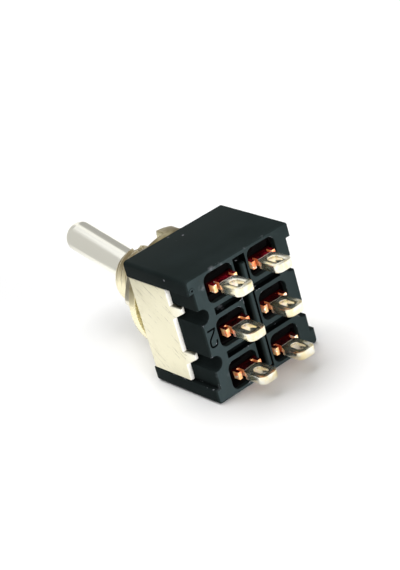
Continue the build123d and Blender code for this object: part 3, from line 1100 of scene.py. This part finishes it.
@dataclass
class ResinPools:
    """The six pools of sealing resin around the feet of the terminals.

    Attributes:
        finish: The resin's finish.
        row_pitch: Step between the rows.
        pocket_x: Middle of a pocket from the switch's middle.
        pocket: Length and height of a pocket.
        corner: Radius of a pocket's corners.
        gap: Room between the resin and the pocket's wall.
        floor: Place along Y of the pocket's floor.
        level: Place along Y of the resin's level.
        blade_x: Middle of a terminal from the switch's middle.
        blade: Length and thickness of the terminal's foot.
        climb: Rise of the resin at the terminal and at the wall.
        reach: Distance over which that rise fades, at the terminal and at the wall.
        wave: Unevenness of the resin's level.
        cells: Grid cells along a pocket's length and height.
    """

    finish: PouredResin
    row_pitch: float = 4.7 * MM
    pocket_x: float = 2.675 * MM
    pocket: tuple[float, float] = (3.45 * MM, 3.05 * MM)
    corner: float = 0.75 * MM
    gap: float = 0.01 * MM
    floor: float = 8.5 * MM
    level: float = 9.08 * MM
    blade_x: float = 2.4 * MM
    blade: tuple[float, float] = (2.9 * MM, 0.8 * MM)
    climb: tuple[float, float] = (0.4 * MM, 0.1 * MM)
    reach: tuple[float, float] = (0.16 * MM, 0.14 * MM)
    wave: float = 0.06 * MM
    cells: tuple[int, int] = (44, 40)

    def build(self) -> None:
        """Build each pool, with its own unevenness."""
        material = self.finish.material()
        for side in Side:
            for row in Row:
                place = f"{side.word}_{row.word}"
                piece = self._pool(side, row, f"resin_{place}")
                hand_over(piece, Body.BASE, material, [f"seal_{place}"])

    def _pool(self, side: Side, row: Row, name: str) -> bpy.types.Object:
        """Model one pool.

        Args:
            side: The pole that it belongs to.
            row: The row that it belongs to.
            name: The piece's name.

        Returns:
            The pool as a closed mesh.
        """
        bpy.ops.object.select_all(action="DESELECT")
        bpy.ops.mesh.primitive_grid_add(x_subdivisions=self.cells[0], y_subdivisions=self.cells[1], size=1.0)
        piece = bpy.context.object
        piece.name = name
        bpy.ops.object.mode_set(mode="EDIT")
        bpy.ops.mesh.select_all(action="SELECT")
        bpy.ops.mesh.extrude_region_move(TRANSFORM_OT_translate={"value": (0.0, 0.0, 1.0)})
        bpy.ops.object.mode_set(mode="OBJECT")
        middle = Vector((side.value * self.pocket_x, 0.0, row.value * self.row_pitch))
        for point in piece.data.vertices:
            on_top = point.co.z > 0.5
            x, z = self._rounded(point.co.x, point.co.y)
            flat = Vector((middle.x + x, 0.0, middle.z + z))
            y = self._surface(side, row, flat, x, z) if on_top else self.floor + self.gap
            point.co = (flat.x, y, flat.z)
        tidy_mesh(piece)
        smooth(piece)
        return piece

    def _rounded(self, u: float, v: float) -> tuple[float, float]:
        """Map a point of the unit square into the pocket's rounded outline.

        Args:
            u: Share along the pocket's length, from -0.5 to 0.5.
            v: Share along the pocket's height, from -0.5 to 0.5.

        Returns:
            The point's x and z from the pocket's middle.
        """
        half = [side / 2 - self.gap for side in self.pocket]
        x, z = 2 * u * half[0], 2 * v * half[1]
        corner = (half[0] - self.corner, half[1] - self.corner)
        past = (abs(x) - corner[0], abs(z) - corner[1])
        if min(past) > 0:
            shrink = max(past) / math.hypot(*past)
            x = math.copysign(corner[0] + past[0] * shrink, x)
            z = math.copysign(corner[1] + past[1] * shrink, z)
        return x, z

    def _surface(self, side: Side, row: Row, flat: Vector, x: float, z: float) -> float:
        """Place along Y of the resin's surface.

        Args:
            side: The pole of the pool.
            row: The row of the pool.
            flat: The point in the switch's frame, without its y.
            x: The point's x from the pocket's middle.
            z: The point's z from the pocket's middle.

        Returns:
            The surface's y.
        """
        from_blade = math.hypot(
            max(abs(flat.x - side.value * self.blade_x) - self.blade[0] / 2, 0.0),
            max(abs(flat.z - row.value * self.row_pitch) - self.blade[1] / 2, 0.0),
        )
        from_wall = min(self.pocket[0] / 2 - abs(x), self.pocket[1] / 2 - abs(z))
        rise = self.climb[0] * math.exp(-from_blade / self.reach[0])
        rise += self.climb[1] * math.exp(-from_wall / self.reach[1])
        wave = noise.noise(flat * 900.0 + Vector((side.value * 3.1, 0.0, row.value * 1.7)))
        return self.level + rise + self.wave * wave


@dataclass
class Studio:
    """Floor, light, reflection cards and camera.

    Attributes:
        floor_level: Place along Z of the floor.
        floor_radius: Radius of the floor.
        floor_color: Colour of the floor.
        ambient: Strength of the world's light on the object.
        key_toward: Direction of the key lamp.
        key_strength: Strength of the key lamp.
        key_spread: Angle that the key lamp fills, in degrees.
        fill_toward: Direction of the fill lamp.
        fill_strength: Strength of the fill lamp.
        fill_spread: Angle that the fill lamp fills, in degrees.
        card_tones: Brightness of the card behind the switch, at its left, in its pale band and at its right.
        card_band: Places along X of the pale band's two edges.
        sweep_near: Distance at which the card's sweep along the floor begins.
        sweep_soft: Length over which the sweep turns from white to grey.
        sweep_side: Places along X between which the sweep turns from white to grey.
        sweep_lift: Height of the sweep above the floor.
        card_color: Tint of the card.
        card_distance: Distance of the card.
        card_size: Width and height of the card.
        camera_place: Camera's place in millimetres.
        camera_right: Direction of the image's right.
        camera_down: Direction of the image's bottom.
        focal: Focal length in millimetres.
        sensor: Length in millimetres of the sensor along the image's height.
    """

    floor_level: float = -6.62 * MM
    floor_radius: float = 1.5
    floor_color: Color = (0.88, 0.88, 0.88)
    ambient: float = 0.36
    key_toward: Point = (0.02, -0.36, 0.93)
    key_strength: float = 2.62
    key_spread: float = 50.0
    fill_toward: Point = (-0.05, 0.99, 0.11)
    fill_strength: float = 4.3
    fill_spread: float = 15.0
    card_tones: Point = (0.42, 1.0, 0.6)
    card_band: tuple[float, float] = (-0.3, -0.11)
    sweep_near: float = 26.0 * MM
    sweep_soft: float = 8.0 * MM
    sweep_side: tuple[float, float] = (-8.0 * MM, 10.0 * MM)
    sweep_lift: float = 0.3 * MM
    card_color: Color = (1.0, 0.99, 0.95)
    card_distance: float = 0.42
    card_size: tuple[float, float] = (1.6, 0.62)
    camera_place: Point = (83.41, 134.86, 76.60)
    camera_right: Point = (-0.74991, 0.61254, -0.24986)
    camera_down: Point = (0.45601, 0.20500, -0.86604)
    focal: float = 113.68
    sensor: float = 36.0

    def build(self) -> None:
        """Set up the studio."""
        bpy.context.scene.view_settings.view_transform = "Standard"
        self._world()
        self._floor()
        self._card()
        self._lamp("key_lamp", self.key_toward, self.key_strength, self.key_spread)
        self._lamp("fill_lamp", self.fill_toward, self.fill_strength, self.fill_spread)
        self._camera()

    @staticmethod
    def _seen(sheet: Sheet) -> Socket:
        """Tell whether a ray shows the background to the eye, a mirror or glass.

        Args:
            sheet: The node tree to work in.

        Returns:
            A socket of 1 for such rays and 0 for the others.
        """
        path = sheet.node("LightPath")
        seen = sheet.math("MAXIMUM", path.outputs["Is Camera Ray"], path.outputs["Is Glossy Ray"])
        return sheet.math("MAXIMUM", seen, path.outputs["Is Transmission Ray"])

    def _world(self) -> None:
        """Make the white world, dimmer where it only lights."""
        world = bpy.data.worlds.new("white_room")
        bpy.context.scene.world = world
        world.use_nodes = True
        sheet = Sheet(world.node_tree)
        shader = world.node_tree.nodes["Background"]
        sheet.put(shader.inputs["Color"], (1.0, 1.0, 1.0))
        sheet.put(shader.inputs["Strength"], sheet.ramp(self._seen(sheet), 0.0, 1.0, self.ambient, 1.0))

    def _floor(self) -> None:
        """Lay the pale floor, which keeps the switch's shadow."""
        bpy.ops.object.select_all(action="DESELECT")
        bpy.ops.mesh.primitive_circle_add(
            vertices=96, radius=self.floor_radius, fill_type="NGON", location=(0.0, 0.0, self.floor_level)
        )
        floor = bpy.context.object
        floor.name = "pale_floor"
        material, sheet, shader, _ = start_material("pale_card")
        sheet.put(shader.inputs["Base Color"], self.floor_color)
        shader.inputs["Roughness"].default_value = 1.0
        shader.inputs["Specular IOR Level"].default_value = 0.0
        floor.data.materials.append(material)

    def _card(self) -> None:
        """Hang a grey card behind the switch, with a sweep along the floor, for the metal to mirror."""
        width, height = self.card_size
        bpy.ops.object.select_all(action="DESELECT")
        bpy.ops.mesh.primitive_plane_add(
            size=1.0,
            location=(0.0, -self.card_distance, self.floor_level + self.sweep_lift + height / 2),
            rotation=(math.radians(90.0), 0.0, 0.0),
        )
        card = bpy.context.object
        card.name = "grey_card"
        card.scale = (width, height, 1.0)
        settle(card)
        bpy.ops.object.mode_set(mode="EDIT")
        bpy.ops.mesh.select_mode(type="EDGE")
        bpy.ops.mesh.select_all(action="DESELECT")
        bpy.ops.object.mode_set(mode="OBJECT")
        for edge in card.data.edges:
            edge.select = all(card.data.vertices[i].co.z < 0.0 for i in edge.vertices)
        bpy.ops.object.mode_set(mode="EDIT")
        reach = self.card_distance - self.sweep_near
        bpy.ops.mesh.extrude_region_move(TRANSFORM_OT_translate={"value": (0.0, reach, 0.0)})
        bpy.ops.object.mode_set(mode="OBJECT")
        card.data.materials.append(self._card_paper())
        card.visible_camera = False
        card.visible_diffuse = False
        card.visible_shadow = False

    def _card_paper(self) -> bpy.types.Material:
        """Build the card's paper, grey with a pale band, and white where its sweep nears the switch.

        Returns:
            The material.
        """
        material, sheet, shader, where = start_material("grey_paper")
        parts = sheet.node("SeparateXYZ", {0: where})
        across, back = parts.outputs["X"], sheet.math("MULTIPLY", parts.outputs["Y"], -1.0)
        shader.inputs["Base Color"].default_value = (0.0, 0.0, 0.0, 1.0)
        shader.inputs["Specular IOR Level"].default_value = 0.0
        sheet.put(shader.inputs["Emission Color"], self.card_color)
        left, pale, right = self.card_tones
        soft = 0.03 * self.card_size[0]
        first = sheet.ramp(across, self.card_band[0] - soft, self.card_band[0] + soft, left, pale)
        second = sheet.ramp(across, self.card_band[1] - soft, self.card_band[1] + soft, pale, right)
        wall = sheet.math("MINIMUM", first, second)
        far = sheet.ramp(back, self.sweep_near, self.sweep_near + self.sweep_soft)
        aside = sheet.math("MULTIPLY", far, sheet.ramp(across, *self.sweep_side))
        sweep = sheet.ramp(aside, 0.0, 1.0, pale, right)
        upright = sheet.ramp(back, 0.98 * self.card_distance, 0.99 * self.card_distance)
        tone = sheet.node("Mix", {0: upright, 2: sweep, 3: wall}).outputs[0]
        sheet.put(shader.inputs["Emission Strength"], tone)
        return material

    @staticmethod
    def _lamp(name: str, toward: Point, strength: float, spread: float) -> None:
        """Hang a wide soft lamp far off, so that it lights the floor evenly.

        Args:
            name: The lamp's name.
            toward: Direction from the switch to the lamp.
            strength: Strength of its light.
            spread: Angle that it fills, in degrees.
        """
        place = Vector(toward).normalized()
        bpy.ops.object.light_add(type="SUN", location=place)
        lamp = bpy.context.object
        lamp.name = name
        lamp.rotation_euler = place.to_track_quat("Z", "Y").to_euler()
        lamp.data.energy = strength
        lamp.data.angle = math.radians(spread)
        lamp.visible_glossy = False

    def _camera(self) -> None:
        """Place the camera at the photograph's angle."""
        bpy.ops.object.camera_add()
        camera = bpy.context.object
        right, down = Vector(self.camera_right), Vector(self.camera_down)
        back = right.cross(-down)
        turn = Matrix((right, -down, back)).transposed().to_4x4()
        camera.matrix_world = Matrix.Translation(Vector(self.camera_place) * MM) @ turn
        camera.data.lens = self.focal
        camera.data.sensor_width = self.sensor
        camera.data.sensor_fit = "AUTO"
        camera.data.clip_start = 0.005
        bpy.context.scene.camera = camera


BLACK_MOULDING = MouldedPlastic(
    "black_moulding",
    color=(0.0098, 0.0143, 0.014),
    mottle=(0.0142, 0.0198, 0.0198),
    scuff_and_glint=(0.5, 0.51, 0.56),
    dust=(0.0278, 0.0388, 0.0406),
    roughness=0.5,
    wear=0.42,
    bruises=(
        (4.75, 9.7, 5.2, 0.5),
        (6.3, 9.7, 5.15, 0.35),
        (3.1, 9.7, 6.45, 0.5),
        (2.1, 9.7, 6.2, 0.35),
        (3.0, 9.1, 2.1, 0.4),
        (5.95, 9.65, -3.6, 0.35),
        (6.0, 9.65, -4.9, 0.4),
        (4.5, 9.7, -4.2, 0.3),
        (-1.0, 9.7, 6.58, 0.25),
        (-3.3, 9.7, 6.58, 0.3),
    ),
)
SATIN_NICKEL = PlatedMetal(
    "satin_nickel",
    color=(0.83, 0.79, 0.6),
    tarnish_and_shade=(0.72, 0.68, 0.5),
    edge=(0.98, 0.96, 0.9),
    roughness=0.36,
    grain=0.12,
    stretch=14.0,
    sheared=True,
    scratched=0.6,
)
# Its upper_shade lays painted shade on what faces up.
THIN_NICKEL_ON_BRASS = PlatedMetal(
    "thin_nickel_on_brass",
    color=(0.93, 0.86, 0.62),
    tarnish_and_shade=(0.22, 0.17, 0.09),
    edge=(0.95, 0.9, 0.7),
    roughness=0.26,
    grain=0.07,
    stretch=0.05,
    patch=0.12,
    upper_shade=0.95,
)
BRIGHT_LEVER = PlatedMetal(
    "bright_lever",
    color=(0.97, 0.96, 0.88),
    tarnish_and_shade=(0.92, 0.91, 0.83),
    edge=(0.98, 0.97, 0.91),
    roughness=0.14,
    grain=0.06,
    grain_turn=12.58,
    stretch=60.0,
    patch=0.25,
)
# Its upper_shade lays painted shade on what faces up.
NICKEL_NUT = PlatedMetal(
    "nickel_nut",
    color=(0.88, 0.84, 0.7),
    tarnish_and_shade=(0.2, 0.175, 0.12),
    edge=(0.95, 0.92, 0.82),
    roughness=0.36,
    grain=0.15,
    stretch=0.08,
    patch=0.2,
    upper_shade=0.9,
)
# Its upper_shade lays painted shade on what faces up.
NICKEL_RING = PlatedMetal(
    "nickel_ring",
    color=(0.95, 0.88, 0.6),
    tarnish_and_shade=(0.17, 0.125, 0.04),
    edge=(0.97, 0.93, 0.75),
    roughness=0.28,
    grain=0.06,
    stretch=8.0,
    patch=0.18,
    upper_shade=0.95,
)
NICKEL_WASHER = PlatedMetal(
    "nickel_washer",
    color=(0.75, 0.71, 0.6),
    tarnish_and_shade=(0.58, 0.53, 0.42),
    edge=(0.9, 0.86, 0.74),
    roughness=0.3,
    stretch=6.0,
)
PIN_STEEL = PlatedMetal(
    "pin_steel", color=(0.62, 0.62, 0.6), tarnish_and_shade=(0.48, 0.47, 0.45), edge=(0.75, 0.75, 0.73), roughness=0.3
)
SPRING_WIRE = PlatedMetal(
    "spring_wire", color=(0.55, 0.55, 0.53), tarnish_and_shade=(0.4, 0.39, 0.37), edge=(0.68, 0.68, 0.66), roughness=0.33
)
ROCKER_PLATE = PlatedMetal(
    "rocker_plate", color=(0.78, 0.72, 0.56), tarnish_and_shade=(0.58, 0.5, 0.34), edge=(0.9, 0.86, 0.74), roughness=0.3
)
CONTACT_SILVER = PlatedMetal(
    "contact_silver", color=(0.85, 0.85, 0.83), tarnish_and_shade=(0.66, 0.65, 0.6), edge=(0.93, 0.93, 0.92), roughness=0.22
)
TINNED_LUG = TinnedBrass(
    "tinned_lug",
    color=(0.99, 0.97, 0.86),
    brass=(0.97, 0.85, 0.52),
    shade=(0.66, 0.55, 0.28),
    thin_film_lit=((1.0, 0.24, 0.09), (1.0, 0.62, 0.28)),
    thick_film_shaded=((0.03, 0.0, 0.001), (0.2, 0.004, 0.012)),
    film_top=10.4 * MM,
    film_fade=0.9 * MM,
)
RED_RESIN = PouredResin("red_resin", color=(0.03, 0.0005, 0.0012), deep_and_shaded=(0.0005, 0.0002, 0.00025), surface=9.12 * MM)
MILKY_NYLON = NaturalNylon("milky_nylon", color=(0.8, 0.78, 0.71), cloud=(0.72, 0.7, 0.63))


def sub_assemblies() -> Iterable[object]:
    """List the switch's sub-assemblies in the order of their making.

    Returns:
        The sub-assemblies, each with a build method.
    """
    return (
        Housing(BLACK_MOULDING),
        Strap(SATIN_NICKEL),
        Bushing(THIN_NICKEL_ON_BRASS),
        PanelHardware(NICKEL_NUT, NICKEL_RING, NICKEL_WASHER),
        Lever(BRIGHT_LEVER, PIN_STEEL, SPRING_WIRE),
        Works(MILKY_NYLON, ROCKER_PLATE, CONTACT_SILVER),
        Terminals(TINNED_LUG),
        ResinPools(RED_RESIN),
        Studio(),
    )


def main() -> None:
    """Build and dress the switch and set up the studio."""
    logging.basicConfig(level=logging.INFO, format="%(name)s: %(message)s")
    for assembly in sub_assemblies():
        LOG.info("making %s", type(assembly).__name__)
        assembly.build()


if __name__ == "__main__":
    main()
